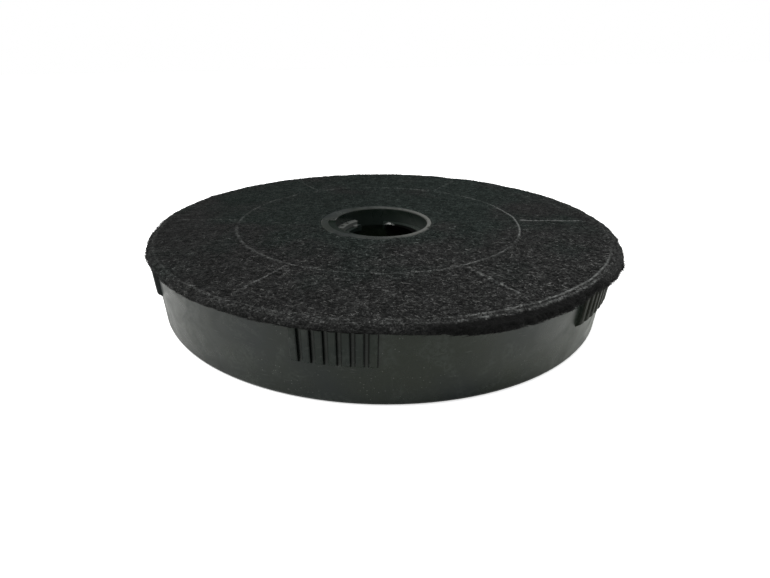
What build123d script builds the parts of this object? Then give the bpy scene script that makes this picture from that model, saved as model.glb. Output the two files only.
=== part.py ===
"""Round carbon filter for a cooker hood, felt side up.

A black moulded dish holds carbon granules in seven compartments: a ring round the hub and six
sectors outside it. A thick felt disc is welded on the walls' top edges, and a grille with fleece
mats on it closes the floor. A bayonet socket through the hub takes the motor boss from below.
Millimetres, +Z up, origin on the dish's axis at the height of the foot.
"""

import os
from math import atan2, cos, degrees, radians, sin

from build123d import *

# Whole filter
total_height = 36.0  # foot to the crest of the beads in the felt
wall_count = 6  # radial walls, which also sets the sectors
wall_turn = -3.73  # angle of the first radial wall from +X

# Dish
dish_radius = 113.0  # outside, under the felt
side_lean = 2.1  # how much narrower the dish is at its foot
side_thickness = 1.6
floor_thickness = 1.6
foot_height = 0.8  # how far the grille is lifted off the table
foot_width = 4.0
foot_rounding = 1.4

# Walls between the compartments
ring_wall_thickness = 1.4
radial_wall_thickness = 1.4

# Felt disc
felt_overhang = 3.5  # past the dish
felt_thickness = 3.6
felt_rounding = 1.7
felt_hole_gap = 0.2  # round the hub's rim
ridge_width = 2.4  # felt lifted over each wall
ridge_height = 0.5
ridge_start_gap = 1.0  # from the ring line to a radial line
ridge_end_gap = 5.4  # from a radial line to the outer line

# Grip ribs
rib_groups = 6
ribs_in_group = 7
rib_turn = -101.3  # middle of the first group
rib_pitch = 2.38  # degrees
rib_width = 2.85  # round the side
rib_height = 1.8
rib_length = 15.0
rib_end_length = 1.6  # slope at the lower end
rib_edge = 0.4
rib_root = 0.8  # how deep a rib starts inside the side wall

# Hub: the rim is round the dish's axis, and the socket sits off it towards +X
rim_width = 2.2  # at its narrowest, on the socket's side
rim_edge = 0.4
collar_width = 2.9  # flange under the felt's inner edge
collar_thickness = 1.6
step_inset = 2.9  # rim to the recess in it, which narrows towards the socket's side
step_shift = 1.0
step_depth = 0.5
step_start = 171.0
step_end = 365.0
throat_radius = 24.2  # above the ledge
throat_edge = 0.5
throat_lip = 0.6  # how much wider the socket is below the ledge
socket_shift = 2.7
socket_wall = 1.6

# Bayonet ledge in the socket
lock_count = 2
ledge_depth = 7.7  # rim to ledge
ledge_thickness = 2.2
ledge_width = 6.5  # inwards from the throat
notch_angle = 40.0  # way in for a lug, next to the stop's nose
notch_gap = 1.5  # degrees
stop_start = 123.5
stop_end = 167.0
stop_height = 2.4
stop_width = 3.9
nose_end = 136.0  # low pad in front of the stop
nose_width = 6.4
nose_height = 0.9
pit_width = 1.9
pit_depth = 1.2
pit_angles = (142.5, 156.0)
pit_inset = 2.0  # throat to the middle of a pit
bump_angle = 70.0
bump_inset = 1.1  # ledge's inner edge to the middle of a bump
bump_length = 3.4  # along the radius
bump_width = 2.8
bump_height = 1.4
bump_edge = 0.8

# Floor grille: straight-sided windows between rings and bars
grille_sides = 24  # straight runs in a ring
outer_bars = 24
outer_rows = 4
inner_bars = 12
inner_rows = 4
grille_bar = 2.0
wall_bar = 4.4  # under a radial wall
grille_margin = 2.4  # solid floor along the round walls

# Fleece mats and granules
mat_thickness = 1.5
fill_gap = 0.3  # to the walls

# Heights and radii that follow
felt_top = total_height - ridge_height
felt_radius = dish_radius + felt_overhang
rim_radius = throat_radius + socket_shift + rim_width
collar_radius = rim_radius + collar_width
socket_radius = throat_radius + throat_lip
ledge_radius = throat_radius - ledge_width
felt_hole_radius = rim_radius + felt_hole_gap
wall_top = felt_top - felt_thickness
outer_line_radius = dish_radius - side_thickness / 2
ring_wall_radius = (collar_radius + dish_radius) / 2  # midway between hub and side
floor_top = foot_height + floor_thickness
mat_top = floor_top + mat_thickness
ledge_top = felt_top - ledge_depth
ledge_bottom = ledge_top - ledge_thickness
draft = side_lean / wall_top
rib_angle = degrees(rib_width / dish_radius)
rounding_step = 1 - sin(radians(45))  # where the two slopes of a rounding meet
ring_wall_inside = ring_wall_radius - ring_wall_thickness / 2
ring_wall_outside = ring_wall_radius + ring_wall_thickness / 2
cut_over = 1.0  # how far a cutter runs past the face that it opens
standing = (Align.CENTER, Align.CENTER, Align.MIN)
outwards = (Align.MIN, Align.CENTER)


def side_radius(height):
    """Outside radius of the tapered side wall at a height."""
    return dish_radius - draft * (wall_top - height)


def turned_profile(points):
    """Solid turned round the axis from (radius, height) points."""
    return revolve(Plane.XZ * make_face(Polyline(*points, close=True)), Axis.Z)


def upright(radius, bottom, top, shift=0.0):
    """Cylinder between two heights, its axis moved along +X by shift."""
    return Pos(shift, 0, bottom) * Cylinder(radius, top - bottom, align=standing)


def pie(start, end, radius, bottom, top):
    """Wedge of a round plate between two angles in degrees."""
    middle = (start + end) / 2
    reach = [(radius * cos(radians(a)), radius * sin(radians(a))) for a in (start, middle, end)]
    outline = Line((0, 0), reach[0]) + ThreePointArc(*reach) + Line(reach[2], (0, 0))
    return Pos(0, 0, bottom) * extrude(make_face(outline), top - bottom)


def round_axis(count, shape):
    """Copies of a shape that lies on +X, evenly round the axis, the first on the first radial wall."""
    return [Rot(0, 0, wall_turn + k * 360 / count) * shape for k in range(count)]


def angle_from_first_wall(solid):
    """Degrees round the axis from the first radial wall to a solid's middle."""
    middle = solid.center()
    return (degrees(atan2(middle.Y, middle.X)) - wall_turn) % 360


def sector_fill(gap, bottom, top):
    """The six outer compartments between two heights, a gap clear of their walls."""
    inside = side_thickness + gap
    ring = turned_profile([
        (ring_wall_outside + gap, bottom),
        (side_radius(bottom) - inside, bottom),
        (side_radius(top) - inside, top),
        (ring_wall_outside + gap, top),
    ])
    strip = Rectangle(felt_radius, radial_wall_thickness + 2 * gap, align=outwards)
    slab = Pos(0, 0, bottom) * extrude(strip, top - bottom)
    return sorted((ring - round_axis(wall_count, slab)).solids(), key=angle_from_first_wall)


def hub_core(gap):
    """Outside form of the hub, socket tube and collar, grown by a gap."""
    tube = upright(socket_radius + socket_wall + gap, 0, felt_top, socket_shift)
    return tube + upright(collar_radius + gap, wall_top - collar_thickness - gap, felt_top)


def inner_fill(gap, bottom, top):
    """The ring-shaped compartment round the hub, a gap clear of its walls."""
    return upright(ring_wall_inside - gap, bottom, top) - hub_core(gap)


def grille_windows(inside, outside, rows, bars):
    """Windows of one zone of the floor grille, as a flat sketch."""
    height = (outside - inside - (rows - 1) * grille_bar) / rows
    windows = Sketch()
    for row in range(rows):
        start = inside + row * (height + grille_bar)
        ring = RegularPolygon(start + height, grille_sides) - RegularPolygon(start, grille_sides)
        windows += Rot(0, 0, wall_turn) * ring
    return windows - round_axis(bars, Rectangle(felt_radius, grille_bar, align=outwards))


def grille_cutter():
    """Every window of the floor, through its thickness."""
    hub_edge = collar_radius + grille_margin
    ring_edges = (ring_wall_inside - grille_margin, ring_wall_outside + grille_margin)
    foot_edge = side_radius(0) - foot_width - grille_margin
    inner = grille_windows(hub_edge, ring_edges[0], inner_rows, inner_bars)
    outer = grille_windows(ring_edges[1], foot_edge, outer_rows, outer_bars)
    outer -= round_axis(wall_count, Rectangle(felt_radius, wall_bar, align=outwards))
    return Pos(0, 0, foot_height - cut_over) * extrude(outer + inner, floor_thickness + 2 * cut_over)


def grip_rib():
    """One rib on +X, turned through its own width, with a sloped lower end and its root in the side."""
    low = wall_top - rib_length
    full = low + rib_end_length
    outline = Polyline(
        (side_radius(low) - rib_root, low),
        (side_radius(low), low),
        (side_radius(full) + rib_height, full),
        (dish_radius + rib_height, wall_top),
        (dish_radius - rib_root, wall_top),
        close=True,
    )
    rib = Rot(0, 0, -rib_angle / 2) * revolve(Plane.XZ * make_face(outline), Axis.Z, rib_angle)
    upright_edges = rib.edges().filter_by(GeomType.LINE)
    outer_edges = upright_edges.filter_by(lambda edge: edge.length > rib_length / 2).sort_by(Axis.X)[-2:]
    return chamfer(outer_edges, rib_edge)


def grip_ribs():
    """All the groups of ribs round the side wall."""
    rib = grip_rib()
    middle = (ribs_in_group - 1) / 2
    return [
        Rot(0, 0, rib_turn + group * 360 / rib_groups + (k - middle) * rib_pitch) * rib
        for group in range(rib_groups)
        for k in range(ribs_in_group)
    ]


def bayonet_locks():
    """Stop blocks and detent bumps on the ledge, and the notches cut in it, about the socket's axis."""
    added, cut = [], []
    in_wall = throat_radius + socket_wall / 2
    root = ledge_top - ledge_thickness / 2
    stop = pie(stop_start, stop_end, in_wall, root, ledge_top + stop_height)
    stop -= upright(throat_radius - stop_width, ledge_bottom, felt_top)
    nose = pie(stop_start, nose_end, in_wall, root, ledge_top + nose_height)
    stop += nose - upright(throat_radius - nose_width, ledge_bottom, felt_top)
    for angle in pit_angles:
        place = Rot(0, 0, angle) * Pos(throat_radius - pit_inset, 0, 0)
        pit = Box(pit_width, pit_width, pit_depth + cut_over, align=standing)
        stop -= place * Pos(0, 0, ledge_top + stop_height - pit_depth) * pit
    bump = Box(bump_length, bump_width, bump_height, align=standing)
    bump = chamfer(bump.faces().sort_by(Axis.Z)[-1].edges(), bump_edge)
    bump = Rot(0, 0, bump_angle) * Pos(ledge_radius + bump_inset, 0, ledge_top) * bump
    notch_end = stop_start - notch_gap
    through = (ledge_bottom - cut_over, ledge_top + cut_over)
    notch = pie(notch_end - notch_angle, notch_end, throat_radius, *through)
    for k in range(lock_count):
        turn = Pos(socket_shift, 0, 0) * Rot(0, 0, k * 360 / lock_count)
        added += [turn * stop, turn * bump]
        cut.append(turn * notch)
    return added, cut


def make_housing():
    """The moulded dish with its walls, grille, hub and grip ribs."""
    form = turned_profile([
        (0, 0),
        (side_radius(0) - foot_rounding, 0),
        (side_radius(0) - foot_rounding * rounding_step, foot_rounding * rounding_step),
        (side_radius(foot_rounding), foot_rounding),
        (dish_radius, wall_top),
        (rim_radius, wall_top),
        (rim_radius, felt_top),
        (0, felt_top),
    ])
    form = chamfer(form.edges().filter_by(GeomType.CIRCLE).group_by(Axis.Z)[-1], rim_edge)

    above = wall_top + cut_over
    dish = form - sector_fill(0, floor_top, above) - inner_fill(0, floor_top, above)
    hollow = upright(side_radius(0) - foot_width, -cut_over, foot_height)
    dish -= hollow - upright(collar_radius, -cut_over, foot_height)
    dish -= grille_cutter()
    dish += grip_ribs()

    stops, notches = bayonet_locks()
    heights = (felt_top - step_depth, felt_top + cut_over)
    step = upright(rim_radius - step_inset, *heights, step_shift)
    dish -= step & pie(step_start, step_end, rim_radius, *heights)
    dish -= upright(throat_radius, ledge_top, felt_top + cut_over, socket_shift)
    edge = Cone(throat_radius - throat_edge, throat_radius + throat_edge, 2 * throat_edge)
    dish -= Pos(socket_shift, 0, felt_top - throat_edge / 2) * edge
    dish -= upright(socket_radius, -cut_over, ledge_bottom, socket_shift)
    dish -= upright(ledge_radius, ledge_bottom - cut_over, ledge_top + cut_over, socket_shift)
    dish -= notches
    dish += stops
    return dish


def ridge_points(radius):
    """A ring-shaped ridge's section, from its outer foot inwards."""
    return [
        (radius + ridge_width / 2, felt_top),
        (radius, total_height),
        (radius - ridge_width / 2, felt_top),
    ]


def radial_ridge():
    """The ridge along one radial wall, on +X."""
    start = ring_wall_radius + ridge_width / 2 + ridge_start_gap
    end = outer_line_radius - ridge_width / 2 - ridge_end_gap
    feet = ((-ridge_width / 2, felt_top), (ridge_width / 2, felt_top))
    section = make_face(Polyline(*feet, (0, total_height), close=True))
    return Pos(start, 0, 0) * extrude(Plane.YZ * section, end - start)


def make_felt():
    """The felt disc with its rounded rim and its ridges over the walls."""
    step = felt_rounding * rounding_step
    disc = turned_profile([
        (felt_hole_radius, wall_top),
        (felt_radius - felt_rounding, wall_top),
        (felt_radius - step, wall_top + step),
        (felt_radius, wall_top + felt_rounding),
        (felt_radius, felt_top - felt_rounding),
        (felt_radius - step, felt_top - step),
        (felt_radius - felt_rounding, felt_top),
        *ridge_points(outer_line_radius),
        *ridge_points(ring_wall_radius),
        (felt_hole_radius, felt_top),
    ])
    return disc + round_axis(wall_count, radial_ridge())


def write(node, shape):
    """One node's STEP file."""
    export_step(shape, os.path.join("parts", node + ".step"))


os.makedirs("parts", exist_ok=True)
write("housing", make_housing())
write("felt_lid", make_felt())
write("floor_mat_inner", inner_fill(fill_gap, floor_top, mat_top))
write("carbon_inner", inner_fill(fill_gap, mat_top, wall_top))
for number, mat in enumerate(sector_fill(fill_gap, floor_top, mat_top), 1):
    write(f"floor_mat_sector_{number}", mat)
for number, carbon in enumerate(sector_fill(fill_gap, mat_top, wall_top), 1):
    write(f"carbon_sector_{number}", carbon)
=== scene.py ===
"""Round cooker hood filter, felt side up: black moulded dish, needle-felt lid, fleece mats on the grille."""

from math import cos, pi, radians, sin

import bmesh
import bpy
import numpy as np
from mathutils import Matrix, Vector


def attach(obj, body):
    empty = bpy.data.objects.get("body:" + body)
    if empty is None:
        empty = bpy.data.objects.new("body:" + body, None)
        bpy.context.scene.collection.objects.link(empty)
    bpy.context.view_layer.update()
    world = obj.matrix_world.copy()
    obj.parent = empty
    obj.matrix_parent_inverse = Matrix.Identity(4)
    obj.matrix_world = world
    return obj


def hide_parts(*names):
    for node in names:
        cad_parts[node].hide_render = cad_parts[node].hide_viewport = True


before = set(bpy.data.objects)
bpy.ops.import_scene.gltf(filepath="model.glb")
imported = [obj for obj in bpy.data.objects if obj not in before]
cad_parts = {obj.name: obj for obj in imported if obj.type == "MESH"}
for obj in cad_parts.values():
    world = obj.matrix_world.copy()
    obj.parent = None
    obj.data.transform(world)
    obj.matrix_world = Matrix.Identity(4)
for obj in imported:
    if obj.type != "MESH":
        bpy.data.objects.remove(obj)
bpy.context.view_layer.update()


# Camera. The photograph was taken from a little to the left of the hub, 26 cm in front of it and
# looking down at 24.6 degrees, with a lens of about 24 mm and the camera turned by one degree.
camera_data = bpy.data.cameras.new("camera")
camera_data.lens = 24.045
camera_data.sensor_width = 36.0
camera_data.sensor_fit = "HORIZONTAL"
camera_data.shift_x = 0.0558
camera_data.clip_start = 0.01
camera_data.clip_end = 20.0
camera = bpy.data.objects.new("camera", camera_data)
bpy.context.collection.objects.link(camera)
place = Matrix.Translation((-0.018496, -0.262371, 0.116390))
tilt = Matrix.Rotation(radians(90 - 24.62), 4, "X")
roll = Matrix.Rotation(radians(-0.96), 4, "Z")
camera.matrix_world = place @ tilt @ roll
bpy.context.scene.camera = camera


# Housing. One injection moulding in black polypropylene: tapered dish with grip ribs, grille floor,
# compartment walls and the bayonet hub. Half gloss with matt ribs, and scuffed and dusty from handling.
def new_material(name):
    """An empty node material with its shader and output joined."""
    material = bpy.data.materials.new(name)
    material.use_nodes = True
    material.node_tree.nodes.clear()
    shader = material.node_tree.nodes.new("ShaderNodeBsdfPrincipled")
    output = material.node_tree.nodes.new("ShaderNodeOutputMaterial")
    material.node_tree.links.new(shader.outputs["BSDF"], output.inputs["Surface"])
    return material, shader


def new_effect(name, inputs, output):
    """A node group for an effect that several materials share, with its starting and closing sockets."""
    group = bpy.data.node_groups.new(name, "ShaderNodeTree")
    group.interface.new_socket(name="Vector", in_out="INPUT", socket_type="NodeSocketVector")
    for socket in inputs:
        group.interface.new_socket(name=socket, in_out="INPUT", socket_type="NodeSocketFloat")
    group.interface.new_socket(name=output, in_out="OUTPUT", socket_type="NodeSocketFloat")
    start = group.nodes.new("NodeGroupInput").outputs
    return group, start, group.nodes.new("NodeGroupOutput").inputs[output]


def tree_of(target):
    """A material's node tree, or the tree itself."""
    return target.node_tree if isinstance(target, bpy.types.Material) else target


def add(target, kind, inputs=None, **settings):
    """A node with its settings, and its inputs given as numbers or as other nodes' outputs."""
    tree = tree_of(target)
    node = tree.nodes.new(kind)
    for key, value in settings.items():
        setattr(node, key, value)
    for key, value in (inputs or {}).items():
        if isinstance(value, bpy.types.NodeSocket):
            tree.links.new(value, node.inputs[key])
        else:
            node.inputs[key].default_value = value
    return node


def calc(target, operation, *values):
    """One step of arithmetic on numbers or sockets."""
    return add(target, "ShaderNodeMath", dict(enumerate(values)), operation=operation).outputs["Value"]


def product(target, *masks):
    """Masks and numbers multiplied together."""
    total = masks[0]
    for mask in masks[1:]:
        total = calc(target, "MULTIPLY", total, mask)
    return total


def fade(target, value, start, end, low=0.0, high=1.0):
    """A soft step from low to high as the value goes from start to end."""
    inputs = {"Value": value, "From Min": start, "From Max": end, "To Min": low, "To Max": high}
    return add(target, "ShaderNodeMapRange", inputs, interpolation_type="SMOOTHSTEP").outputs["Result"]


def noise(target, vector, scale, detail=2.0, **more):
    """Noise of a scale in cycles per metre."""
    inputs = {"Vector": vector, "Scale": scale, "Detail": detail}
    inputs.update({key.capitalize(): value for key, value in more.items()})
    return add(target, "ShaderNodeTexNoise", inputs).outputs["Fac"]


def blend(target, factor, first, second):
    """One colour over another by a mask; either colour may be a socket."""
    node = add(target, "ShaderNodeMix", {"Factor": factor}, data_type="RGBA")
    for key, colour in (("A", first), ("B", second)):
        if isinstance(colour, bpy.types.NodeSocket):
            tree_of(target).links.new(colour, node.inputs[key])
        else:
            node.inputs[key].default_value = (*colour, 1.0)
    return node.outputs["Result"]


def ramp(target, value, stops):
    """A colour ramp over (position, colour) stops; a colour may be one grey number."""
    node = add(target, "ShaderNodeValToRGB", {"Fac": value})
    elements = node.color_ramp.elements
    while len(elements) > 1:
        elements.remove(elements[-1])
    for index, (position, colour) in enumerate(stops):
        element = elements[0] if index == 0 else elements.new(position)
        element.position = position
        if not hasattr(colour, "__len__"):
            colour = (colour, colour, colour)
        element.color = (*colour, 1.0)
    return node.outputs["Color"]


def rounds(*stops):
    """Stops of a ramp round the disc, from pairs of degrees and value."""
    return [((turn + 180) / 360, value) for turn, value in stops]


def shared_effect(target, effect, place, **settings):
    """The mask that a shared effect gives at a place."""
    return add(target, "ShaderNodeGroup", {"Vector": place, **settings}, node_tree=effect).outputs[0]


def turn_round(target, apart):
    """The angle round the disc's axis, in radians and again as 0 to 1 from -180 to 180 degrees."""
    angle = calc(target, "ARCTAN2", apart["Y"], apart["X"])
    return angle, calc(target, "MULTIPLY_ADD", angle, 0.5 / pi, 0.5)


def from_axis(target, apart, shift=0.0):
    """The distance from the disc's axis, or from one shifted in X."""
    flat = add(target, "ShaderNodeCombineXYZ", {"X": apart["X"], "Y": apart["Y"]}).outputs["Vector"]
    inputs = {0: flat, 1: (shift, 0.0, 0.0)}
    return add(target, "ShaderNodeVectorMath", inputs, operation="DISTANCE").outputs["Value"]


def relief(material, shader, height, strength, distance):
    """Fine bumps in the shading, with the height's full range given in metres."""
    bump = add(material, "ShaderNodeBump", {"Height": height, "Strength": strength, "Distance": distance})
    material.node_tree.links.new(bump.outputs["Normal"], shader.inputs["Normal"])


specks, start, end = new_effect("light_specks", ["Scale", "Cover"], "Mask")
cells = add(specks, "ShaderNodeTexVoronoi", {"Vector": start["Vector"], "Scale": start["Scale"]})
dots = fade(specks, cells.outputs["Distance"], 0.06, 0.22, 1.0, 0.0)
lot = add(specks, "ShaderNodeSeparateColor", {"Color": cells.outputs["Color"]}).outputs["Red"]
kept = calc(specks, "LESS_THAN", lot, start["Cover"])
patches = fade(specks, noise(specks, start["Vector"], 60.0, 4.0), 0.45, 0.62)
specks.links.new(product(specks, dots, kept, patches), end)

dish_radius = 0.1130
rim_top = 0.0355
recess_floor = 0.0350
felt_hole = 0.0293
socket_shift = 0.0027
throat_radius = 0.0242
ledge_top = 0.0278
ledge_bottom = 0.0256
rib_foot = 0.0169
rib_pitch = 2.38  # degrees
rib_group_half = 8.1  # degrees, from a group's middle to just past its last rib
front_group_turn = -101.3  # degrees

plastic, shader = new_material("moulded_black_plastic")
where = add(plastic, "ShaderNodeTexCoord").outputs["Object"]
apart = add(plastic, "ShaderNodeSeparateXYZ", {"Vector": where}).outputs
angle, turned = turn_round(plastic, apart)
radius = from_axis(plastic, apart)
from_socket = from_axis(plastic, apart, socket_shift)


def streaky_noise(round_scale, up_scale, detail, distortion):
    """Noise that is drawn out along the wall or up it, by a scale in cycles per radian and per metre."""
    stretched = {"X": calc(plastic, "MULTIPLY", angle, round_scale), "Y": radius,
                 "Z": calc(plastic, "MULTIPLY", apart["Z"], up_scale)}
    place = add(plastic, "ShaderNodeCombineXYZ", stretched).outputs["Vector"]
    return noise(plastic, place, 1.0, detail, distortion=distortion)


# Handling marks: faint swirls, streaks along the wall, upright scratches, smears and dust.
cloud = noise(plastic, where, 28.0, 4.0)
haze = noise(plastic, where, 75.0, 6.0, distortion=1.2)
swirl = noise(plastic, where, 48.0, 5.0, distortion=3.0)
swirls = product(plastic, fade(plastic, swirl, 0.46, 0.50), fade(plastic, swirl, 0.50, 0.54, 1.0, 0.0),
                 fade(plastic, cloud, 0.45, 0.60))
streaks = product(plastic, fade(plastic, streaky_noise(22.0, 1500.0, 3.0, 0.0), 0.58, 0.72),
                  fade(plastic, haze, 0.46, 0.60))
scratches = product(plastic, fade(plastic, streaky_noise(150.0, 260.0, 2.0, 0.8), 0.64, 0.74),
                    fade(plastic, cloud, 0.48, 0.60))
scuffs = calc(plastic, "MAXIMUM", product(plastic, swirls, 0.10), streaks)
scuffs = calc(plastic, "MAXIMUM", scuffs, product(plastic, scratches, 0.7))
smears = product(plastic, fade(plastic, noise(plastic, where, 34.0, 5.0, distortion=2.2), 0.48, 0.64),
                 fade(plastic, noise(plastic, where, 700.0, 3.0), 0.35, 0.65))
dust = shared_effect(plastic, specks, where, Scale=760.0, Cover=0.45)
bluish_black = (0.0026, 0.0076, 0.0074)
greenish_black = (0.0056, 0.0110, 0.0042)
body = ramp(plastic, cloud, [(0.36, bluish_black), (0.62, greenish_black)])
body = blend(plastic, product(plastic, scuffs, 0.26), body, (0.085, 0.09, 0.085))
body = blend(plastic, product(plastic, smears, 0.42), body, (0.036, 0.045, 0.039))
body = blend(plastic, product(plastic, dust, 0.55), body, (0.16, 0.165, 0.155))

# The socket's bore wall is painted lighter, most low down and on its right, as painted light, and darker
# under the rim as painted shade; its two stop blocks are painted grey as a painted highlight.
bore_radius = throat_radius + 0.0008
bore_painted_light = product(plastic, fade(plastic, from_socket, bore_radius - 0.00005, bore_radius + 0.00005, 1.0, 0.0),
                  fade(plastic, apart["Z"], rim_top - 0.0009, rim_top - 0.0005, 1.0, 0.0),
                  fade(plastic, apart["Z"], ledge_bottom - 0.0002, ledge_bottom + 0.0001),
                  fade(plastic, apart["Z"], ledge_top + 0.0012, rim_top - 0.0010, 0.9, 0.25))
bore_light_left = (0.016, 0.023, 0.020)
bore_light_right = (0.040, 0.048, 0.043)
bore_light_tone = blend(plastic, fade(plastic, apart["X"], 0.010, 0.027), bore_light_left, bore_light_right)
body = blend(plastic, bore_painted_light, body, bore_light_tone)
above_ledge = calc(plastic, "GREATER_THAN", apart["Z"], ledge_top + 0.00015)
beside = calc(plastic, "ABSOLUTE", calc(plastic, "SUBTRACT", apart["X"], socket_shift))
# Painted highlight: the two stop blocks are painted grey.
stops_painted_highlight = product(plastic, calc(plastic, "LESS_THAN", from_socket, throat_radius - 0.00015), above_ledge,
                   calc(plastic, "GREATER_THAN", beside, 0.012))
body = blend(plastic, product(plastic, stops_painted_highlight, 0.85), body, (0.125, 0.132, 0.125))

# The rim's face is painted paler from the front to the right as a painted highlight. The edge of its recess
# is paler all round from wear, and much paler at its end near 171 degrees as painted light over the step's
# shade.
on_rim = product(plastic, fade(plastic, apart["Z"], rim_top - 0.0010, rim_top - 0.0006),
                 calc(plastic, "LESS_THAN", radius, felt_hole))
# Painted highlight on the rim's face, strongest on the right.
rim_painted_highlight = ramp(plastic, turned, rounds((-180, 0.0), (-90, 0.10), (-55, 0.60), (-12, 0.95), (20, 0.8),
                                          (60, 0.14), (110, 0.05), (150, 0.0), (180, 0.0)))
body = blend(plastic, product(plastic, on_rim, rim_painted_highlight), body, (0.13, 0.135, 0.125))
on_edge = product(plastic, fade(plastic, apart["Z"], recess_floor + 0.00002, recess_floor + 0.00008),
                  fade(plastic, apart["Z"], rim_top - 0.00008, rim_top - 0.00002, 1.0, 0.0), on_rim)
# Paler recess edge: wear all round, and painted light at its end.
edge_wear_and_painted_light = ramp(plastic, turned, rounds((-180, 0.30), (155, 0.22), (166, 1.0), (176, 1.0), (180, 0.30)))
body = blend(plastic, product(plastic, on_edge, edge_wear_and_painted_light), body, (0.15, 0.155, 0.15))

# The ribs are matt, and painted paler on the right as painted light. Between the front ribs, and along the
# ledge's inner edge on the right, hardly any light gets in, so near-black painted shade is laid there.
on_ribs = fade(plastic, radius, dish_radius + 0.0003, dish_radius + 0.0010)
right_ribs_painted_light = product(plastic, on_ribs, fade(plastic, apart["X"], 0.04, 0.08))
body = blend(plastic, product(plastic, right_ribs_painted_light, 0.7), body, (0.017, 0.017, 0.013))
# Painted shade on the wall beside each of the front ribs.
from_group = calc(plastic, "MULTIPLY_ADD", angle, 180 / pi, -front_group_turn)
from_group = calc(plastic, "ABSOLUTE", calc(plastic, "WRAP", from_group, 30.0, -30.0))
from_rib = calc(plastic, "PINGPONG", from_group, rib_pitch / 2)
rib_gap_painted_shade = product(plastic, calc(plastic, "GREATER_THAN", from_rib, 0.70),
                  fade(plastic, from_rib, 0.74, 1.12, 1.0, 0.0),
                  calc(plastic, "LESS_THAN", from_group, rib_group_half),
                  fade(plastic, apart["Z"], rib_foot, rib_foot + 0.0005),
                  calc(plastic, "GREATER_THAN", radius, dish_radius - 0.0080),
                  fade(plastic, apart["X"], -0.005, 0.03, 1.0, 0.0),
                  fade(plastic, apart["X"], -0.055, -0.025, 0.12, 0.85))
body = blend(plastic, rib_gap_painted_shade, body, (0.0014, 0.0018, 0.0016))
# Painted shade along the ledge's inner edge on the right.
ledge_shade = product(plastic, fade(plastic, from_socket, 0.0204, 0.0214, 1.0, 0.0),
                      calc(plastic, "LESS_THAN", apart["Z"], ledge_top + 0.00005),
                      calc(plastic, "GREATER_THAN", apart["Z"], ledge_bottom - 0.0016),
                      fade(plastic, apart["X"], 0.004, 0.008))
body = blend(plastic, ledge_shade, body, (0.0006, 0.0006, 0.0006))
plastic.node_tree.links.new(body, shader.inputs["Base Color"])

# Gloss: hazy patches on the wall, and duller ribs, recess edge and locking bumps.
on_bump = product(plastic, above_ledge, fade(plastic, from_socket, 0.0225, 0.0230, 1.0, 0.0))
matt = calc(plastic, "MAXIMUM", product(plastic, on_ribs, 0.22), product(plastic, on_edge, 0.45))
matt = calc(plastic, "MAXIMUM", matt, product(plastic, on_bump, 0.10))
gloss = calc(plastic, "ADD", fade(plastic, haze, 0.30, 0.72, 0.25, 0.42), matt)
plastic.node_tree.links.new(gloss, shader.inputs["Roughness"])
left_recess = product(plastic, on_rim, fade(plastic, apart["X"], -0.004, -0.018),
                      fade(plastic, apart["Z"], recess_floor + 0.00001, recess_floor + 0.00005, 1.0, 0.0))
dull_rim = product(plastic, on_rim, fade(plastic, apart["X"], -0.004, 0.014, 1.0, 0.4),
                   fade(plastic, apart["Y"], -0.016, 0.004, 1.0, 1.05))
unlit = calc(plastic, "MAXIMUM", rib_gap_painted_shade, ledge_shade)
shine = calc(plastic, "MULTIPLY_ADD", left_recess, -0.14, 0.5)
shine = calc(plastic, "MULTIPLY_ADD", dull_rim, -0.32, shine)
shine = calc(plastic, "MULTIPLY_ADD", right_ribs_painted_light, -0.40, shine)
shine = product(plastic, shine, calc(plastic, "MULTIPLY_ADD", unlit, -0.85, 1.0))
plastic.node_tree.links.new(shine, shader.inputs["Specular IOR Level"])
shader.inputs["IOR"].default_value = 1.42
relief(plastic, shader, noise(plastic, where, 1500.0), 0.12, 0.0001)
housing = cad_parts["housing"]
housing.data.materials.clear()
housing.data.materials.append(plastic)


# Locking ramps, beside the two locking bumps on the bayonet ledge. They are low wedges of the same
# moulding that let a lug ride up on a bump, and their sloped inner faces catch the light.
ramp_radius = 0.0188
ramp_foot = (-0.0002, -0.00105, 0.0016, 0.0034)  # height, run inwards and outwards, half width
ramp_crest = (0.00105, -0.0001, 0.0013, 0.0012)
bm = bmesh.new()
for bump_turn in (radians(70), radians(250)):
    along = Vector((cos(bump_turn), sin(bump_turn), 0))
    beside = Vector((-sin(bump_turn), cos(bump_turn), 0))
    middle = Vector((socket_shift, 0, ledge_top)) + along * ramp_radius
    corners = []
    for height, inner, outer, half in (ramp_foot, ramp_crest):
        for run, side in ((inner, -half), (inner, half), (outer, half), (outer, -half)):
            corners.append(bm.verts.new(middle + along * run + beside * side + Vector((0, 0, height))))
    bmesh.ops.convex_hull(bm, input=corners)
bmesh.ops.recalc_face_normals(bm, faces=bm.faces)
ramp_mesh = bpy.data.meshes.new("locking_ramps")
bm.to_mesh(ramp_mesh)
bm.free()
ramp_mesh.materials.append(plastic)
locking_ramps = bpy.data.objects.new("locking_ramps", ramp_mesh)
bpy.context.collection.objects.link(locking_ramps)
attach(locking_ramps, "root")


# Fleece mats. Thin black needle fleece cut to the floor of each compartment, laid on the grille so
# that no granules fall through. Nothing holds them but the granules on top, so they lie a little wavy.
mat_bottom = 0.0024
mat_top = 0.0039
mat_middle = (mat_bottom + mat_top) / 2
mat_inside = 0.0735
mat_outside = 0.10915
inner_mat_hole = 0.0267
inner_mat_edge = 0.0715
wall_clearance = 0.0010

wall_turn = radians(-3.73)  # the first radial wall; the others are a sixth of a turn apart
sixth_turn = pi / 3


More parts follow.
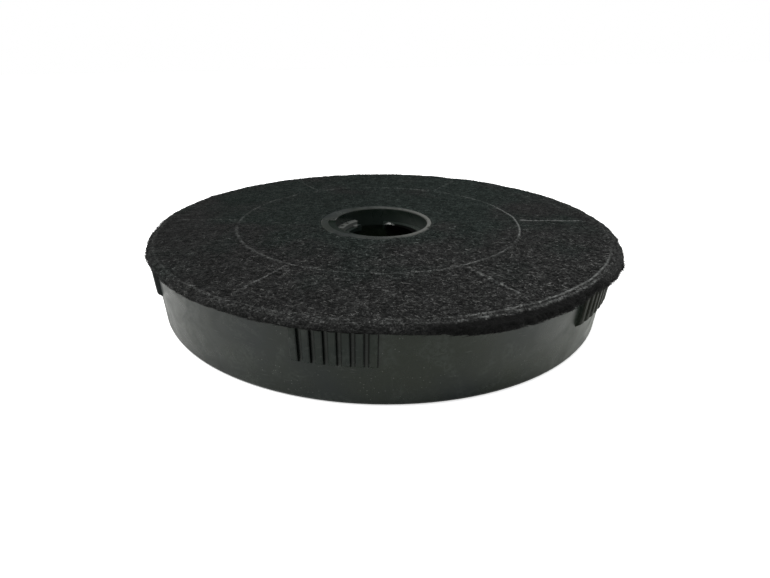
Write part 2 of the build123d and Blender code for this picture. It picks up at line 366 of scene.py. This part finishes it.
def waves(x, y, shortest, longest, count, seed):
    """Smooth unevenness with a spread of about one, from crossing waves of random direction."""
    pick = np.random.default_rng(seed)
    total = 0.0
    for _ in range(count):
        turn = pick.uniform(0, 2 * pi)
        length = shortest * (longest / shortest) ** pick.uniform()
        total = total + np.sin((x * cos(turn) + y * sin(turn)) * 2 * pi / length + pick.uniform(0, 2 * pi))
    return total / (count / 2) ** 0.5


tufts, start, end = new_effect("felt_tufts", ["Size"], "Tufts")
fineness = calc(tufts, "DIVIDE", 1.0, start["Size"])
curls = noise(tufts, start["Vector"], fineness, 3.0, roughness=0.7, distortion=0.8)
drift = noise(tufts, start["Vector"], calc(tufts, "DIVIDE", fineness, 7.0), 2.0)
both = calc(tufts, "ADD", fade(tufts, curls, 0.33, 0.69), product(tufts, drift, 0.5))
tufts.links.new(calc(tufts, "SUBTRACT", both, 0.25), end)

fleece, shader = new_material("black_fleece")
where = add(fleece, "ShaderNodeTexCoord").outputs["Object"]
clumps = shared_effect(fleece, tufts, where, Size=0.0009)
fibres = noise(fleece, where, 1900.0, 4.0, roughness=0.75, distortion=1.5)
matted = calc(fleece, "ADD", fade(fleece, fibres, 0.34, 0.68, 0.0, 0.6), product(fleece, clumps, 0.3))
fleece_colour = ramp(fleece, matted, [(0.15, (0.004, 0.0045, 0.0045)), (0.50, (0.020, 0.0215, 0.021)),
                                      (0.90, (0.085, 0.088, 0.085))])
crumbs = shared_effect(fleece, specks, where, Scale=420.0, Cover=0.35)
fleece_colour = blend(fleece, crumbs, fleece_colour, (0.0025, 0.0025, 0.0025))
fleece.node_tree.links.new(fleece_colour, shader.inputs["Base Color"])
relief(fleece, shader, matted, 0.8, 0.0003)
shader.inputs["Roughness"].default_value = 0.9
shader.inputs["Specular IOR Level"].default_value = 0.2


def fleece_mat(name, node, bm):
    """Softens a cut mat's surface and lays it in its compartment."""
    mesh = bpy.data.meshes.new(name)
    bm.to_mesh(mesh)
    bm.free()
    points = np.empty(len(mesh.vertices) * 3)
    mesh.vertices.foreach_get("co", points)
    x, y, z = points.reshape(-1, 3).T
    high = (z - mat_bottom) / (mat_top - mat_bottom)
    thin = 0.00012 * (1.0 + 0.6 * np.clip(waves(x, y, 0.003, 0.012, 20, 21), -1.6, 1.6))
    hollow = 0.00006 * (1.0 + 0.6 * np.clip(waves(x, y, 0.004, 0.02, 20, 22), -1.6, 1.6))
    z = z - high * thin + (1 - high) * hollow
    mesh.vertices.foreach_set("co", np.column_stack([x, y, z]).ravel())
    mesh.update()
    mesh.materials.append(fleece)
    mat = bpy.data.objects.new(name, mesh)
    bpy.context.collection.objects.link(mat)
    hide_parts(node)
    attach(mat, "root")


def mat_section(bm, inside, outside, steps, turn):
    """A mat's cut section, from the hub side to the rim side, at an angle round the axis."""
    runs = [inside + (outside - inside) * k / steps for k in range(steps + 1)]
    section = [(r, mat_bottom) for r in runs] + [(r, mat_top) for r in reversed(runs)]
    points = [bm.verts.new((r * cos(turn), r * sin(turn), z)) for r, z in section]
    return points + [bm.edges.new(pair) for pair in zip(points, points[1:] + points[:1])]


bm = bmesh.new()
section = mat_section(bm, inner_mat_hole, inner_mat_edge, 22, 0.0)
bmesh.ops.spin(bm, geom=section, axis=(0, 0, 1), cent=(0, 0, 0), angle=2 * pi, steps=180, use_merge=True)
for v in bm.verts:
    share = (v.co.xy.length - inner_mat_hole) / (inner_mat_edge - inner_mat_hole)
    v.co.x += socket_shift * (1.0 - share)  # the hub stands off centre, round the socket
bmesh.ops.recalc_face_normals(bm, faces=bm.faces)
fleece_mat("fleece_mat_inner", "floor_mat_inner", bm)

for number in range(6):
    first_wall = wall_turn + number * sixth_turn
    bm = bmesh.new()
    section = mat_section(bm, mat_inside, mat_outside, 18, first_wall)
    bmesh.ops.spin(bm, geom=section, axis=(0, 0, 1), cent=(0, 0, 0), angle=sixth_turn, steps=56)
    for wall, side in ((first_wall, 1.0), (first_wall + sixth_turn, -1.0)):  # cut parallel to each wall
        across = Vector((-sin(wall), cos(wall), 0.0)) * side
        whole = bm.verts[:] + bm.edges[:] + bm.faces[:]
        bmesh.ops.bisect_plane(bm, geom=whole, plane_co=across * wall_clearance, plane_no=across,
                               clear_inner=True)
        on_cut = [v for v in bm.verts if abs(v.co.dot(across) - wall_clearance) < 0.00001]
        on_cut.sort(key=lambda v: (v.co.z > mat_middle, v.co.xy.length))
        lower, upper = on_cut[:len(on_cut) // 2], on_cut[len(on_cut) // 2:]
        for k in range(len(lower) - 1):
            bm.faces.new((lower[k], lower[k + 1], upper[k + 1], upper[k]))
    bmesh.ops.recalc_face_normals(bm, faces=bm.faces)
    fleece_mat(f"fleece_mat_{number + 1}", f"floor_mat_sector_{number + 1}", bm)


# Granules. Broken activated carbon, poured loose into the seven compartments: dull black grains of
# one to two millimetres, with dust in between and a few faces that catch the light.
granules, shader = new_material("carbon_granules")
where = add(granules, "ShaderNodeTexCoord").outputs["Object"]
grains = add(granules, "ShaderNodeTexVoronoi", {"Vector": where, "Scale": 620.0})
faces = add(granules, "ShaderNodeTexVoronoi", {"Vector": where, "Scale": 1700.0})
lot = add(granules, "ShaderNodeSeparateColor", {"Color": grains.outputs["Color"]}).outputs["Red"]
carbon_colour = ramp(granules, lot, [(0.0, (0.004, 0.004, 0.0042)), (0.6, (0.010, 0.010, 0.0102)),
                                     (1.0, (0.024, 0.024, 0.025))])
ash = shared_effect(granules, specks, where, Scale=900.0, Cover=0.3)
carbon_colour = blend(granules, product(granules, ash, 0.4), carbon_colour, (0.07, 0.07, 0.068))
granules.node_tree.links.new(carbon_colour, shader.inputs["Base Color"])
dulled = fade(granules, faces.outputs["Distance"], 0.0, 0.6, 0.35, 0.85)
granules.node_tree.links.new(dulled, shader.inputs["Roughness"])
heap = calc(granules, "ADD", grains.outputs["Distance"], product(granules, faces.outputs["Distance"], 0.3))
relief(granules, shader, calc(granules, "SUBTRACT", 1.0, heap), 1.0, 0.0010)
for name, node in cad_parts.items():
    if name.startswith("carbon_"):
        node.data.materials.clear()
        node.data.materials.append(granules)


# Felt lid. A disc of coarse charcoal needle felt, 3.6 mm thick, welded on the walls' top edges and
# hanging a little over the side. It is lifted into lines over each wall, rubbed pale and painted with a
# highlight, and its cut edge is soft, uneven and fuzzy. The loose strands on it are pieces of their own.
felt_bottom = 0.0319
felt_top = 0.0355
felt_edge = 0.1165
felt_rounding = 0.0017
felt_middle = (felt_bottom + felt_top) / 2
ring_line = 0.0725
outer_line = 0.1122
radial_line_start = 0.0747
radial_line_end = 0.1056
line_height = 0.00045


def ease(value, low, high):
    """0 below low, 1 above high, with a soft step between."""
    t = np.clip((value - low) / (high - low), 0, 1)
    return t * t * (3 - 2 * t)


def felt_lift(x, y):
    """How far the felt is lifted over the walls, 0 to 1."""
    radius = np.hypot(x, y)
    off = (np.arctan2(y, x) - wall_turn + sixth_turn / 2) % sixth_turn - sixth_turn / 2
    past_end = np.maximum(np.maximum(radial_line_start - radius, radius - radial_line_end), 0)
    lines = ((radius - outer_line, 0.0010), (radius - ring_line, 0.0010),
             (np.hypot(radius * np.sin(off), past_end), 0.0009))
    return np.maximum.reduce([np.exp(-((distance / width) ** 2)) for distance, width in lines])


def felt_surface(x, y):
    """Height of the felt's upper side."""
    swell = 0.00010 * waves(x, y, 0.012, 0.045, 16, 1) + 0.00005 * waves(x, y, 0.0025, 0.006, 24, 2)
    return felt_top + line_height * felt_lift(x, y) + swell - edge_drop(x, y)


def edge_reach(turn):
    """How far the cut edge stands out at an angle, beyond its nominal radius."""
    x, y = felt_edge * np.cos(turn), felt_edge * np.sin(turn)
    uneven = 0.00022 * waves(x, y, 0.004, 0.02, 20, 3) + 0.00025 * waves(x, y, 0.03, 0.08, 8, 4)
    reach = ((-180, -1.5), (-165, -1.7), (-150, -1.0), (-135, -0.4), (-100, -0.2), (-84, 0.0), (-76, 1.8),
             (-58, 1.8), (-48, 0.2), (-25, 0.9), (-5, 0.5), (15, 0.1), (120, 0.3), (133, 0.8), (141, 0.1),
             (150, 1.3), (160, 0.4), (172, -0.8), (180, -1.5))  # degrees and millimetres
    return uneven + 0.001 * np.interp(np.degrees(turn), *zip(*reach))


def edge_drop(x, y, under=0.0):
    """How far the felt past the dish is bent down, at its upper side (under 0) to its underside (under 1)."""
    turn = np.degrees(np.arctan2(y, x))
    bends = ((-180, 0.5, -0.9), (-163, 0.5, -1.6), (-150, 0.5, -1.1), (-130, 0.5, -0.6), (-105, 0.55, -0.7),
             (-92, 0.6, -0.4), (-84, 0.7, 0.6), (-76, 1.5, 1.4), (-67, 1.4, 1.1), (-55, 0.9, 0.3),
             (-45, 1.1, 0.7), (-35, 1.6, 1.6), (-25, 1.7, 1.7), (-15, 1.4, 1.4), (-5, 0.8, 0.8),
             (12, 0.4, 0.4), (60, 0.4, 0.0), (180, 0.5, -0.7))  # degrees, and millimetres above and below
    turns, upper, lower = zip(*bends)
    drop = np.interp(turn, turns, upper) * (1 - under) + np.interp(turn, turns, lower) * under
    return 0.001 * drop * ease(np.hypot(x, y), outer_line + 0.0008, felt_edge + 0.0004)


bm = bmesh.new()
heights = [felt_bottom + 0.0003, felt_bottom + 0.0012, felt_bottom + 0.0024, felt_top - 0.0004]
profile = [(felt_hole, z) for z in heights]
radii = [felt_hole + 0.0004 + 0.0008 * k for k in range(200)]
line_steps = (-0.0015, -0.0011, -0.0007, -0.00035, 0.0, 0.00035, 0.0007, 0.0011, 0.0015)
near_lines = [line + step for line in (ring_line, outer_line) for step in line_steps]
radii = [r for r in radii if min(abs(r - ring_line), abs(r - outer_line)) > 0.0020]
radii = sorted(r for r in radii + near_lines if r < felt_edge - felt_rounding)
profile += [(r, felt_top) for r in radii]
for k in range(13):
    bend = pi / 2 - k * pi / 12
    profile.append((felt_edge - felt_rounding + felt_rounding * cos(bend),
                    felt_middle + (felt_top - felt_middle) * sin(bend)))
profile += [(dish_radius - 0.0084 * k, felt_bottom) for k in range(10)]
points = [bm.verts.new((r * cos(wall_turn), r * sin(wall_turn), z)) for r, z in profile]
edges = [bm.edges.new(pair) for pair in zip(points, points[1:] + points[:1])]
bmesh.ops.spin(bm, geom=points + edges, axis=(0, 0, 1), cent=(0, 0, 0), angle=sixth_turn, steps=100)
sixth = bm.verts[:] + bm.edges[:] + bm.faces[:]
for k in range(1, 6):
    copied = bmesh.ops.duplicate(bm, geom=sixth)["geom"]
    copied = [v for v in copied if isinstance(v, bmesh.types.BMVert)]
    bmesh.ops.rotate(bm, verts=copied, cent=(0, 0, 0), matrix=Matrix.Rotation(k * sixth_turn, 3, "Z"))
bmesh.ops.remove_doubles(bm, verts=bm.verts, dist=0.00002)
bmesh.ops.recalc_face_normals(bm, faces=bm.faces)
felt_mesh = bpy.data.meshes.new("felt_disc")
bm.to_mesh(felt_mesh)
bm.free()

flat = np.empty(len(felt_mesh.vertices) * 3)
felt_mesh.vertices.foreach_get("co", flat)
x, y, z = flat.reshape(-1, 3).T
radius = np.hypot(x, y)
turn = np.arctan2(y, x) - wall_turn
turn = turn - 0.55 * np.sin(6 * turn) / 6 + wall_turn  # closer together at the radial lines
turn = (turn + pi) % (2 * pi) - pi
outward = ease(radius, felt_edge - 0.0080, felt_edge - 0.0005)
radius = radius + edge_reach(turn) * outward
x, y = radius * np.cos(turn), radius * np.sin(turn)
upper = ease(z, felt_bottom + 0.0006, felt_top - 0.0002)
z = z + (felt_surface(x, y) - felt_top) * upper
z = z - edge_drop(x, y, 1.0) * (1 - upper) * ease(radius, dish_radius + 0.0002, felt_edge - 0.0015)
lump = 0.00012 * waves(x, y + 0.7 * z, 0.0015, 0.005, 24, 6)
z = z + lump * outward * upper
x, y = x + lump * outward * np.cos(turn), y + lump * outward * np.sin(turn)
felt_mesh.vertices.foreach_set("co", np.column_stack([x, y, z]).ravel())
felt_mesh.update()
felt_mesh.shade_smooth()
felt = bpy.data.objects.new("felt_disc", felt_mesh)
bpy.context.collection.objects.link(felt)


# The lines over the walls are rubbed pale, partly from wear and partly as a painted highlight, strongest on
# the right.
rubbed_highlit, start, end = new_effect("rubbed_highlit_lines", ["Width"], "Worn_and_highlit")
apart = add(rubbed_highlit, "ShaderNodeSeparateXYZ", {"Vector": start["Vector"]}).outputs
radius = from_axis(rubbed_highlit, apart)
angle, turned = turn_round(rubbed_highlit, apart)
off = calc(rubbed_highlit, "WRAP", calc(rubbed_highlit, "SUBTRACT", angle, wall_turn), sixth_turn / 2, -sixth_turn / 2)
wander = calc(rubbed_highlit, "MULTIPLY_ADD", noise(rubbed_highlit, start["Vector"], 300.0, 2.0), 0.0016, -0.0008)
gaps = fade(rubbed_highlit, noise(rubbed_highlit, start["Vector"], 300.0, 3.0), 0.38, 0.62, 0.15, 1.35)
spots = fade(rubbed_highlit, noise(rubbed_highlit, start["Vector"], 1250.0, 2.0), 0.40, 0.60, 0.15, 1.5)
broken = product(rubbed_highlit, gaps, spots)


def worn_highlit_line(distance, tones):
    """A line's mask. tones gives how strong, how soft and how broken it is, by degrees round the disc."""
    tone = add(rubbed_highlit, "ShaderNodeSeparateColor", {"Color": ramp(rubbed_highlit, turned, rounds(*tones))}).outputs
    shifted = calc(rubbed_highlit, "MULTIPLY_ADD", wander, tone["Green"], distance)
    share = calc(rubbed_highlit, "DIVIDE", calc(rubbed_highlit, "ABSOLUTE", shifted), start["Width"])
    wide = calc(rubbed_highlit, "MULTIPLY_ADD", tone["Green"], 1.6, 1.5)
    holes = calc(rubbed_highlit, "MULTIPLY_ADD", tone["Blue"], calc(rubbed_highlit, "SUBTRACT", broken, 1.0), 1.0)
    return product(rubbed_highlit, fade(rubbed_highlit, share, 0.0, wide, 1.0, 0.0), tone["Red"], holes)


outer_tones = [
    (-180, (0.04, 0.8, 1.0)), (-140, (0.10, 1.0, 1.0)), (-126, (0.32, 1.0, 1.0)), (-119, (0.12, 0.8, 1.0)),
    (-112, (0.28, 0.8, 1.0)), (-100, (0.22, 0.6, 1.0)), (-84, (0.26, 0.4, 1.0)), (-76, (0.50, 0.3, 1.0)),
    (-66, (0.95, 0.2, 0.9)), (-60, (0.80, 0.1, 0.8)), (-55, (1.0, 0.05, 0.5)), (-38, (0.75, 0.1, 0.5)),
    (-31, (0.28, 0.4, 0.8)), (-24, (0.05, 0.8, 1.0)), (180, (0.03, 0.8, 1.0))]
second_tones = [
    (-180, (0.0, 0.6, 1.0)), (-126, (0.08, 0.6, 1.0)), (-112, (0.14, 0.6, 1.0)), (-84, (0.18, 0.4, 1.0)),
    (-74, (0.45, 0.2, 1.0)), (-58, (0.60, 0.1, 0.9)), (-48, (0.35, 0.2, 1.0)), (-38, (0.08, 0.7, 1.0)),
    (180, (0.0, 0.6, 1.0))]
ring_tones = [
    (-180, (0.16, 1.0, 1.0)), (-156, (0.24, 1.0, 0.8)), (-130, (0.26, 0.9, 0.8)), (-124, (0.50, 0.2, 0.8)),
    (-105, (0.34, 0.2, 0.9)), (-80, (0.42, 0.2, 0.9)), (-57, (0.58, 0.2, 0.7)), (-39, (0.52, 0.3, 0.7)),
    (-34, (0.16, 0.7, 1.0)), (-28, (0.18, 0.7, 1.0)), (-23, (0.90, 0.1, 0.5)), (-4, (1.0, 0.0, 0.4)),
    (8, (0.90, 0.1, 0.5)), (20, (0.45, 0.4, 0.8)), (40, (0.22, 0.7, 1.0)), (180, (0.18, 1.0, 1.0))]
spoke_tones = [
    (-180, (0.20, 0.9, 1.0)), (-150, (0.20, 0.9, 1.0)), (-140, (0.50, 0.12, 0.8)), (-105, (0.50, 0.12, 0.8)),
    (-90, (0.50, 0.8, 1.0)), (-40, (0.50, 0.8, 1.0)), (-30, (1.0, 0.0, 0.4)), (20, (1.0, 0.0, 0.4)),
    (32, (0.16, 0.9, 1.0)), (180, (0.18, 0.9, 1.0))]
beside_line = product(rubbed_highlit, radius, calc(rubbed_highlit, "SINE", off))
total = product(rubbed_highlit, worn_highlit_line(beside_line, spoke_tones),
                fade(rubbed_highlit, radius, radial_line_start - 0.001, radial_line_start + 0.001),
                fade(rubbed_highlit, radius, radial_line_end - 0.001, radial_line_end + 0.001, 1.0, 0.0))
second_line = outer_line + 0.0017
for line, tones in ((outer_line, outer_tones), (second_line, second_tones), (ring_line, ring_tones)):
    mask = worn_highlit_line(calc(rubbed_highlit, "SUBTRACT", radius, line), tones)
    total = calc(rubbed_highlit, "MAXIMUM", total, mask)
rubbed_highlit.links.new(total, end)


def felt_finish(name, strands):
    """Charcoal felt: matted grain under the surface, or the loose strands' own finish."""
    material, shader = new_material(name)
    where = add(material, "ShaderNodeTexCoord").outputs["Object"]
    clumps = shared_effect(material, tufts, where, Size=0.0014)
    if strands:
        own = add(material, "ShaderNodeAttribute", attribute_name="strand_shade").outputs["Fac"]
        value = calc(material, "ADD", product(material, own, 0.75), product(material, clumps, 0.30))
    else:
        grain = noise(material, where, 1100.0, 4.0, roughness=0.7, distortion=0.6)
        grain = fade(material, grain, 0.32, 0.72, 0.0, 0.6)
        value = calc(material, "ADD", grain, product(material, clumps, 0.25))
        relief(material, shader, value, 0.9, 0.0004)

    # The grain shows more contrast towards the front, and less at the far left.
    apart = add(material, "ShaderNodeSeparateXYZ", {"Vector": where}).outputs
    contrast = product(material, fade(material, apart["Y"], 0.03, -0.08, 0.66, 1.22),
                       fade(material, apart["X"], -0.10, -0.02, 0.84, 1.0))
    middle_value = 0.38
    value = calc(material, "SUBTRACT", value, middle_value)
    value = calc(material, "MULTIPLY_ADD", value, contrast, middle_value)

    # Cooler and greener behind the hub, more neutral towards the edge, and painted brighter on the right as
    # painted light.
    cool = ramp(material, value, [(0.12, (0.0046, 0.0078, 0.0066)), (0.42, (0.0190, 0.0266, 0.0240)),
                                  (0.68, (0.058, 0.072, 0.067)), (0.95, (0.20, 0.22, 0.21))])
    warm = ramp(material, value, [(0.12, (0.0064, 0.0068, 0.0068)), (0.42, (0.0240, 0.0250, 0.0248)),
                                  (0.68, (0.068, 0.069, 0.068)), (0.95, (0.21, 0.213, 0.208))])
    behind_hub = {0: where, 1: (0.0, 0.045, 0.035)}
    from_back = add(material, "ShaderNodeVectorMath", behind_hub, operation="DISTANCE").outputs["Value"]
    tint = calc(material, "ADD", noise(material, where, 26.0, 3.0), product(material, from_back, 3.0))
    felt_colour = blend(material, fade(material, tint, 0.64, 0.92), cool, warm)
    # Painted light: the felt is brighter towards the right.
    right_painted_light = fade(material, apart["X"], -0.03, 0.07, 1.03, 1.30)
    scaled = add(material, "ShaderNodeVectorMath", {0: felt_colour, "Scale": right_painted_light}, operation="SCALE")

    # Rubbed pale over the walls, partly from wear and partly as a painted highlight, with a little lint.
    lines = shared_effect(material, rubbed_highlit, where, Width=0.00045)
    felt_colour = blend(material, lines, scaled.outputs["Vector"], (0.25, 0.26, 0.255))
    lint = shared_effect(material, specks, where, Scale=330.0, Cover=0.12)
    felt_colour = blend(material, product(material, lint, 0.5), felt_colour, (0.15, 0.15, 0.145))

    # The cut edge and the slope down to it get painted shade, darker towards the underside and most of all in
    # front.
    radius = from_axis(material, apart)
    turned = turn_round(material, apart)[1]
    shades = ramp(material, turned, rounds(
        (-180, (0.4, 0.0, 0.0)), (-150, (0.5, 0.0, 0.0)), (-125, (0.96, 0.1, 0.0)), (-90, (0.97, 0.3, 0.0)),
        (-82, (0.97, 0.95, 0.0)), (-46, (0.97, 0.95, 0.0)), (-37, (0.95, 0.3, 0.0)), (-8, (0.95, 0.3, 0.0)),
        (8, (0.92, 0.0, 0.0)), (180, (0.4, 0.0, 0.0))))
    shade = add(material, "ShaderNodeSeparateColor", {"Color": shades}).outputs
    side = product(material, fade(material, apart["Z"], felt_bottom - 0.0001, felt_top - 0.0004, 1.0, 0.0),
                   shade["Red"])
    slope = product(material, fade(material, radius, felt_edge - 0.0022, felt_edge - 0.0012), shade["Green"])
    edge_painted_shade = calc(material, "MAXIMUM", side, slope)
    felt_colour = blend(material, edge_painted_shade, felt_colour, (0.0006, 0.0008, 0.0007))
    material.node_tree.links.new(felt_colour, shader.inputs["Base Color"])
    shader.inputs["Roughness"].default_value = 0.85
    shader.inputs["Specular IOR Level"].default_value = 0.2
    return material


felt_mesh.materials.append(felt_finish("matted_felt", False))
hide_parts("felt_lid")
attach(felt, "root")


# Loose strands on the felt. Coarse synthetic fibres that the needles left on top of the disc: they
# lie every way, a little bent, with their ends caught in the felt, and they stand off at its edge.
bm = bmesh.new()
bmesh.ops.create_cone(bm, segments=3, radius1=0.5, radius2=0.5, depth=1.0, cap_ends=True, cap_tris=False)
whole = bm.verts[:] + bm.edges[:] + bm.faces[:]
bmesh.ops.bisect_plane(bm, geom=whole, plane_co=(0, 0, 0), plane_no=(0, 0, 1))
bmesh.ops.triangulate(bm, faces=bm.faces)
bm.verts.ensure_lookup_table()
strand_points = np.array([v.co for v in bm.verts])
strand_faces = np.array([[v.index for v in f.verts] for f in bm.faces])
bm.free()
strand_limit = felt_edge - 0.0015


def strand_piece(name, middles, thickness, shades, material):
    """One piece of many strands. middles holds each strand's centreline at three places."""
    count = len(middles)
    along = strand_points[:, 2] + 0.5
    part = np.rint(along * 2).astype(int)
    centre = middles[:, part, :]
    run = middles[:, 2] - middles[:, 0]
    run = run / np.linalg.norm(run, axis=1, keepdims=True)
    level = np.cross(run, [0.0, 0.0, 1.0])
    level = level / np.maximum(np.linalg.norm(level, axis=1, keepdims=True), 1e-9)
    upward = np.cross(level, run)
    taper = np.where(part == 1, 1.0, 0.6)
    side = strand_points[:, 0] * taper
    rise = strand_points[:, 1] * taper
    place = centre + thickness[:, None, None] * (side[None, :, None] * level[:, None, :]
                                                  + rise[None, :, None] * upward[:, None, :])
    faces = (strand_faces[None] + (np.arange(count) * len(strand_points))[:, None, None]).reshape(-1, 3)
    mesh = bpy.data.meshes.new(name)
    mesh.vertices.add(count * len(strand_points))
    mesh.vertices.foreach_set("co", place.ravel())
    mesh.loops.add(faces.size)
    mesh.loops.foreach_set("vertex_index", faces.ravel())
    mesh.polygons.add(len(faces))
    mesh.polygons.foreach_set("loop_start", np.arange(len(faces)) * 3)
    mesh.update(calc_edges=True)
    shade = mesh.attributes.new("strand_shade", "FLOAT", "POINT")
    shade.data.foreach_set("value", np.repeat(shades, len(strand_points)))
    mesh.materials.append(material)
    mesh.validate()
    piece = bpy.data.objects.new(name, mesh)
    bpy.context.collection.objects.link(piece)
    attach(piece, "root")
    return piece


def lying_strands(pick, count, inner, outer, lengths, lift):
    """Centrelines of strands that lie on the felt's upper side between two radii."""
    radius = np.sqrt(pick.uniform(inner**2, outer**2, count))
    turn = pick.uniform(-pi, pi, count)
    heading = pick.uniform(-pi, pi, count)
    length = lengths[0] * (lengths[1] / lengths[0]) ** pick.uniform(0, 1, count)
    bend = pick.normal(0, 0.24, count) * length
    middles = np.empty((count, 3, 3))
    for k, s in enumerate((-0.5, 0.0, 0.5)):
        sideways = bend * (0.25 - s * s) * 4
        x = radius * np.cos(turn) + s * length * np.cos(heading) - sideways * np.sin(heading)
        y = radius * np.sin(turn) + s * length * np.sin(heading) + sideways * np.cos(heading)
        over = np.minimum(1.0, strand_limit / np.hypot(x, y))
        x, y = x * over, y * over
        middles[:, k, 0] = x
        middles[:, k, 1] = y
        raised = lift if k == 1 else 0.0
        middles[:, k, 2] = felt_surface(x, y) + raised * pick.uniform(0.2, 1.0, count)
    return middles


strand_material = felt_finish("loose_felt_strands", True)
strand_lengths = (0.0011, 0.0052)
strand_lift = 0.00034
pick = np.random.default_rng(11)
for number in range(3):
    count = 14000
    middles = lying_strands(pick, count, felt_hole + 0.0007, strand_limit, strand_lengths, strand_lift)
    shades = pick.beta(1.0, 2.4, count)
    thickness = pick.uniform(0.00014, 0.00034, count)
    piece = strand_piece(f"felt_strands_{number + 1}", middles, thickness, shades, strand_material)


# Fuzz round the cut edge. The same fibres, cut short, standing off it by up to a millimetre.
count = 9000
turn = pick.uniform(-pi, pi, count)
slope = pick.uniform(-0.9, 1.3, count)
reach = pick.uniform(0.0002, 0.0007, count)
spread = pick.normal(0, 0.012, count)
middles = np.empty((count, 3, 3))
for k, s in enumerate((-0.6, 0.3, 1.0)):
    lean = turn + spread * (s + 0.6)
    out = felt_edge - felt_rounding + edge_reach(turn) + (felt_rounding + s * reach) * np.cos(slope)
    middles[:, k, 0] = out * np.cos(lean)
    middles[:, k, 1] = out * np.sin(lean)
    dropped = edge_drop(out * np.cos(turn), out * np.sin(turn), 0.5 - 0.5 * np.sin(slope))
    middles[:, k, 2] = felt_middle + (0.0016 + s * reach * 0.5) * np.sin(slope) - dropped
shades = pick.beta(1.3, 3.5, count)
thickness = pick.uniform(0.00008, 0.00016, count)
strand_piece("felt_edge_fuzz", middles, thickness, shades, strand_material)


# Studio. A pale floor in an even white surround, darker on the camera's side and low behind, with
# one round softbox high over the front left. The floor is lit through, so it shows no shadow.
bpy.ops.mesh.primitive_plane_add(size=8.0, location=(0, 0, 0))
floor = bpy.context.object
floor.name = "floor"
paper, shader = new_material("pale_floor")
shader.inputs["Roughness"].default_value = 0.9
where = add(paper, "ShaderNodeTexCoord").outputs["Object"]
from_hub = add(paper, "ShaderNodeVectorMath", {0: where}, operation="LENGTH").outputs["Value"]

# Its colour: painted nearly black under the dish as painted shade, and a little greyer in front of it as
# painted shade.
under_dish_painted_shade = fade(paper, from_hub, 0.0960, 0.1070, 1.0, 0.0)
apart = add(paper, "ShaderNodeSeparateXYZ", {"Vector": where}).outputs
front_painted_shade = product(paper, fade(paper, apart["Y"], -0.09, -0.13),
                   fade(paper, calc(paper, "ABSOLUTE", apart["X"]), 0.02, 0.09, 1.0, 0.0))
grey = calc(paper, "MULTIPLY_ADD", front_painted_shade, -0.20, 0.80)
grey = product(paper, grey, calc(paper, "MULTIPLY_ADD", under_dish_painted_shade, -0.99, 1.0))
tone = add(paper, "ShaderNodeCombineColor", {"Red": grey, "Green": grey, "Blue": grey}).outputs["Color"]
paper.node_tree.links.new(tone, shader.inputs["Base Color"])

# Its glow: white to the camera, and weaker and uneven to the dish's side, which it lights.
seen = add(paper, "ShaderNodeLightPath").outputs["Is Camera Ray"]
shown = fade(paper, from_hub, 0.1070, 0.1125, 0.0, 0.95)
lit_from = fade(paper, apart["X"], 0.02, 0.09, 0.128, 0.113)
unseen = product(paper, fade(paper, from_hub, 0.104, lit_from, 0.0, 0.255),
                 fade(paper, apart["X"], 0.02, 0.13, 1.0, 2.0),
                 fade(paper, apart["X"], -0.10, -0.04, 1.42, 1.0),
                 fade(paper, apart["X"], -0.17, -0.12, 0.36, 1.0))
lit = add(paper, "ShaderNodeMix", {"Factor": seen, "A": unseen, "B": shown}, data_type="FLOAT")
paper.node_tree.links.new(lit.outputs["Result"], shader.inputs["Emission Strength"])
glow_colour = blend(paper, seen, (0.97, 1.0, 0.92), (1.0, 1.0, 1.0))
paper.node_tree.links.new(glow_colour, shader.inputs["Emission Color"])

# Seen from below it is clear, and under the grille it is clear to every ray but the camera's.
clear = add(paper, "ShaderNodeBsdfTransparent")
below_grille = product(paper, fade(paper, from_hub, 0.0300, 0.0305),
                       fade(paper, from_hub, 0.1060, 0.1065, 1.0, 0.0), calc(paper, "SUBTRACT", 1.0, seen))
backside = add(paper, "ShaderNodeNewGeometry").outputs["Backfacing"]
share = calc(paper, "MAXIMUM", below_grille, backside)
either = {"Fac": share, 1: shader.outputs["BSDF"], 2: clear.outputs["BSDF"]}
joined = add(paper, "ShaderNodeMixShader", either).outputs["Shader"]
paper.node_tree.links.new(joined, paper.node_tree.nodes["Material Output"].inputs["Surface"])
floor.data.materials.append(paper)

world = bpy.data.worlds.new("surround")
world.use_nodes = True
tree = world.node_tree
direction = add(tree, "ShaderNodeTexCoord").outputs["Generated"]
apart = add(tree, "ShaderNodeSeparateXYZ", {"Vector": direction}).outputs
raised_back = {0: direction, 1: (0.0, 0.91, 0.42)}
to_back = add(tree, "ShaderNodeVectorMath", raised_back, operation="DOT_PRODUCT").outputs["Value"]
behind = product(tree, fade(tree, to_back, 0.60, 0.93), fade(tree, apart["Z"], 0.08, 0.24))
strength = product(tree, calc(tree, "MULTIPLY_ADD", behind, -0.47, 0.72),
                   fade(tree, apart["Y"], -0.95, -0.10, 0.55, 1.0))
seen = add(tree, "ShaderNodeLightPath").outputs["Is Camera Ray"]
strength = add(tree, "ShaderNodeMix", {"Factor": seen, "A": strength, "B": 1.0}, data_type="FLOAT")
background = tree.nodes["Background"]
background.inputs["Color"].default_value = (1.0, 1.0, 1.0, 1.0)
tree.links.new(strength.outputs["Result"], background.inputs["Strength"])
bpy.context.scene.world = world

lamp = bpy.data.lights.new("softbox", "AREA")
lamp.shape = "DISK"
lamp.size = 0.25
lamp.energy = 6.0
lamp.color = (1.0, 0.99, 0.96)
softbox = bpy.data.objects.new("softbox", lamp)
softbox.location = (-0.38, -0.22, 1.10)
softbox.rotation_euler = (Vector((0, 0, 0.03)) - softbox.location).to_track_quat("-Z", "Y").to_euler()
bpy.context.collection.objects.link(softbox)
bpy.context.scene.view_settings.view_transform = "Standard"
